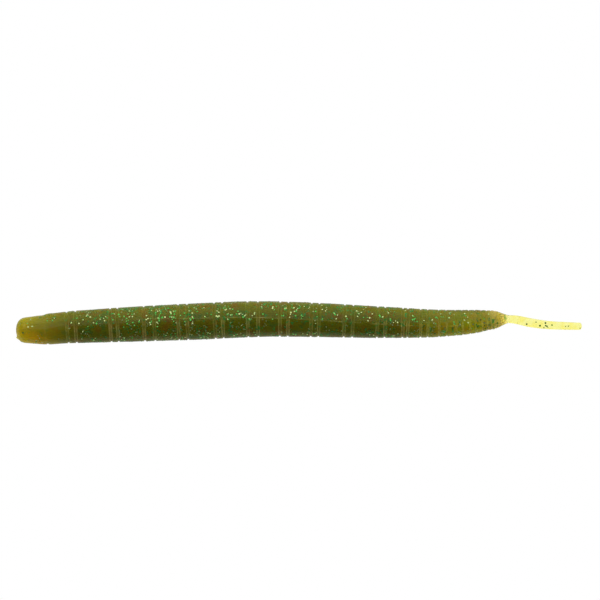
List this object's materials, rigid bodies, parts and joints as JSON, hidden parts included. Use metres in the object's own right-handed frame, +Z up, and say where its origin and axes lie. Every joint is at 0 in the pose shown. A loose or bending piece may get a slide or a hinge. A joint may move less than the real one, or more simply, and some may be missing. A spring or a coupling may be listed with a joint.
{
  "type": "soft plastic worm",
  "caption": "Ringed soft plastic fishing worm with embedded flakes, a blunt nose and a thin ribbon tail; it bends at its moulded grooves.",
  "frame": {"origin": "on the floor under the middle of the worm as it lies on its belly", "axes": "+X from nose to tail tip, +Y to the right of someone looking from the tail towards the nose, +Z up from the belly"},
  "size_m": [0.1271, 0.0095, 0.0082],
  "materials": {
    "olive_plastisol": "soft oily gloss over translucent olive green with speckle",
    "amber_plastisol": "soft oily gloss over translucent yellow amber",
    "chartreuse_tail": "glossy translucent chartreuse yellow",
    "green_flake": "metallised green flake"
  },
  "bodies": {
    "nose": {"nose": "amber_plastisol"},
    "segment_01": {"segment_01": "olive_plastisol"},
    "segment_02": {"segment_02": "olive_plastisol"},
    "segment_03": {"segment_03": "olive_plastisol"},
    "segment_04": {"segment_04": "olive_plastisol"},
    "segment_05": {"segment_05": "olive_plastisol"},
    "segment_06": {"segment_06": "olive_plastisol"},
    "segment_07": {"segment_07": "olive_plastisol"},
    "segment_08": {"segment_08": "olive_plastisol"},
    "segment_09": {"segment_09": "olive_plastisol"},
    "segment_10": {"segment_10": "olive_plastisol"},
    "segment_11": {"segment_11": "olive_plastisol"},
    "segment_12": {"segment_12": "olive_plastisol"},
    "segment_13": {"segment_13": "olive_plastisol"},
    "segment_14": {"segment_14": "olive_plastisol"},
    "segment_15": {"segment_15": "olive_plastisol"},
    "segment_16": {"segment_16": "amber_plastisol"},
    "tail_1": {"tail_1": "chartreuse_tail"},
    "tail_2": {"tail_2": "chartreuse_tail"},
    "tail_3": {"tail_3": "chartreuse_tail"},
    "tail_4": {"tail_4": "chartreuse_tail"}
  },
  "joints": [
    {"name": "front_lift", "type": "hinge", "parent": "segment_06", "child": "segment_05", "pos_m": [-0.00675, 0.00082, 0.00394], "axis": [0, 1, 0], "range_deg": [-25, 25], "stiffness_Nm_per_rad": 0.002},
    {"name": "front_sway", "type": "hinge", "parent": "segment_05", "child": "segment_04", "pos_m": [-0.0143, 0.00066, 0.00402], "axis": [0, 0, -1], "range_deg": [-25, 25], "stiffness_Nm_per_rad": 0.002},
    {"name": "front_lift_2", "type": "hinge", "parent": "segment_04", "child": "segment_03", "pos_m": [-0.02195, 0.0003, 0.00404], "axis": [0, 1, 0], "range_deg": [-25, 25], "stiffness_Nm_per_rad": 0.002},
    {"name": "front_sway_2", "type": "hinge", "parent": "segment_03", "child": "segment_02", "pos_m": [-0.0297, -0.00002, 0.00397], "axis": [0, 0, -1], "range_deg": [-25, 25], "stiffness_Nm_per_rad": 0.002},
    {"name": "front_lift_3", "type": "hinge", "parent": "segment_02", "child": "segment_01", "pos_m": [-0.03765, -0.00036, 0.00386], "axis": [0, 1, 0], "range_deg": [-25, 25], "stiffness_Nm_per_rad": 0.002},
    {"name": "front_sway_3", "type": "hinge", "parent": "segment_01", "child": "nose", "pos_m": [-0.0461, -0.00076, 0.00368], "axis": [0, 0, -1], "range_deg": [-25, 25], "stiffness_Nm_per_rad": 0.002},
    {"name": "rear_sway", "type": "hinge", "parent": "segment_06", "child": "segment_07", "pos_m": [0.0001, 0.00071, 0.00385], "axis": [0, 0, 1], "range_deg": [-25, 25], "stiffness_Nm_per_rad": 0.0015},
    {"name": "rear_lift", "type": "hinge", "parent": "segment_07", "child": "segment_08", "pos_m": [0.00725, 0.0005, 0.00373], "axis": [0, -1, 0], "range_deg": [-25, 25], "stiffness_Nm_per_rad": 0.0015},
    {"name": "rear_sway_2", "type": "hinge", "parent": "segment_08", "child": "segment_09", "pos_m": [0.01475, 0.00021, 0.00358], "axis": [0, 0, 1], "range_deg": [-25, 25], "stiffness_Nm_per_rad": 0.0015},
    {"name": "rear_lift_2", "type": "hinge", "parent": "segment_09", "child": "segment_10", "pos_m": [0.0212, 0, 0.0034], "axis": [0, -1, 0], "range_deg": [-25, 25], "stiffness_Nm_per_rad": 0.0015},
    {"name": "rear_sway_3", "type": "hinge", "parent": "segment_10", "child": "segment_11", "pos_m": [0.02575, -0.00012, 0.00324], "axis": [0, 0, 1], "range_deg": [-25, 25], "stiffness_Nm_per_rad": 0.0015},
    {"name": "rear_lift_3", "type": "hinge", "parent": "segment_11", "child": "segment_12", "pos_m": [0.03005, -0.00016, 0.00307], "axis": [0, -1, 0], "range_deg": [-25, 25], "stiffness_Nm_per_rad": 0.0015},
    {"name": "stem_sway", "type": "hinge", "parent": "segment_12", "child": "segment_13", "pos_m": [0.03405, -0.00007, 0.00289], "axis": [0, 0, 1], "range_deg": [-25, 25], "stiffness_Nm_per_rad": 0.0006},
    {"name": "stem_lift", "type": "hinge", "parent": "segment_13", "child": "segment_14", "pos_m": [0.0374, 0.0001, 0.00271], "axis": [0, -1, 0], "range_deg": [-25, 25], "stiffness_Nm_per_rad": 0.0006},
    {"name": "stem_sway_2", "type": "hinge", "parent": "segment_14", "child": "segment_15", "pos_m": [0.04025, 0.00032, 0.00249], "axis": [0, 0, 1], "range_deg": [-25, 25], "stiffness_Nm_per_rad": 0.0006},
    {"name": "stem_lift_2", "type": "hinge", "parent": "segment_15", "child": "segment_16", "pos_m": [0.04265, 0.00056, 0.00216], "axis": [0, -1, 0], "range_deg": [-25, 25], "stiffness_Nm_per_rad": 0.0006},
    {"name": "tail_sway", "type": "hinge", "parent": "segment_16", "child": "tail_1", "pos_m": [0.0486, 0.00067, 0.00082], "axis": [0, 0, 1], "range_deg": [-30, 30], "stiffness_Nm_per_rad": 0.00002},
    {"name": "tail_lift", "type": "hinge", "parent": "tail_1", "child": "tail_2", "pos_m": [0.0517, 0.00002, 0.00045], "axis": [0, -1, 0], "range_deg": [-30, 30], "stiffness_Nm_per_rad": 0.00001},
    {"name": "tail_sway_2", "type": "hinge", "parent": "tail_2", "child": "tail_3", "pos_m": [0.0557, -0.00054, 0.00045], "axis": [0, 0, 1], "range_deg": [-30, 30], "stiffness_Nm_per_rad": 0.000002},
    {"name": "tail_lift_2", "type": "hinge", "parent": "tail_3", "child": "tail_4", "pos_m": [0.0597, -0.00073, 0.00045], "axis": [0, -1, 0], "range_deg": [-30, 30], "stiffness_Nm_per_rad": 0.000001}
  ],
  "couplings": [
    {"joint": "front_lift_2", "follows": "front_lift", "ratio": 1},
    {"joint": "front_sway_2", "follows": "front_sway", "ratio": 1},
    {"joint": "front_lift_3", "follows": "front_lift", "ratio": 1},
    {"joint": "front_sway_3", "follows": "front_sway", "ratio": 1},
    {"joint": "rear_sway_2", "follows": "rear_sway", "ratio": 1},
    {"joint": "rear_lift_2", "follows": "rear_lift", "ratio": 1},
    {"joint": "rear_sway_3", "follows": "rear_sway", "ratio": 1},
    {"joint": "rear_lift_3", "follows": "rear_lift", "ratio": 1},
    {"joint": "stem_sway_2", "follows": "stem_sway", "ratio": 1},
    {"joint": "stem_lift_2", "follows": "stem_lift", "ratio": 1},
    {"joint": "tail_sway_2", "follows": "tail_sway", "ratio": 1},
    {"joint": "tail_lift_2", "follows": "tail_lift", "ratio": 1}
  ]
}
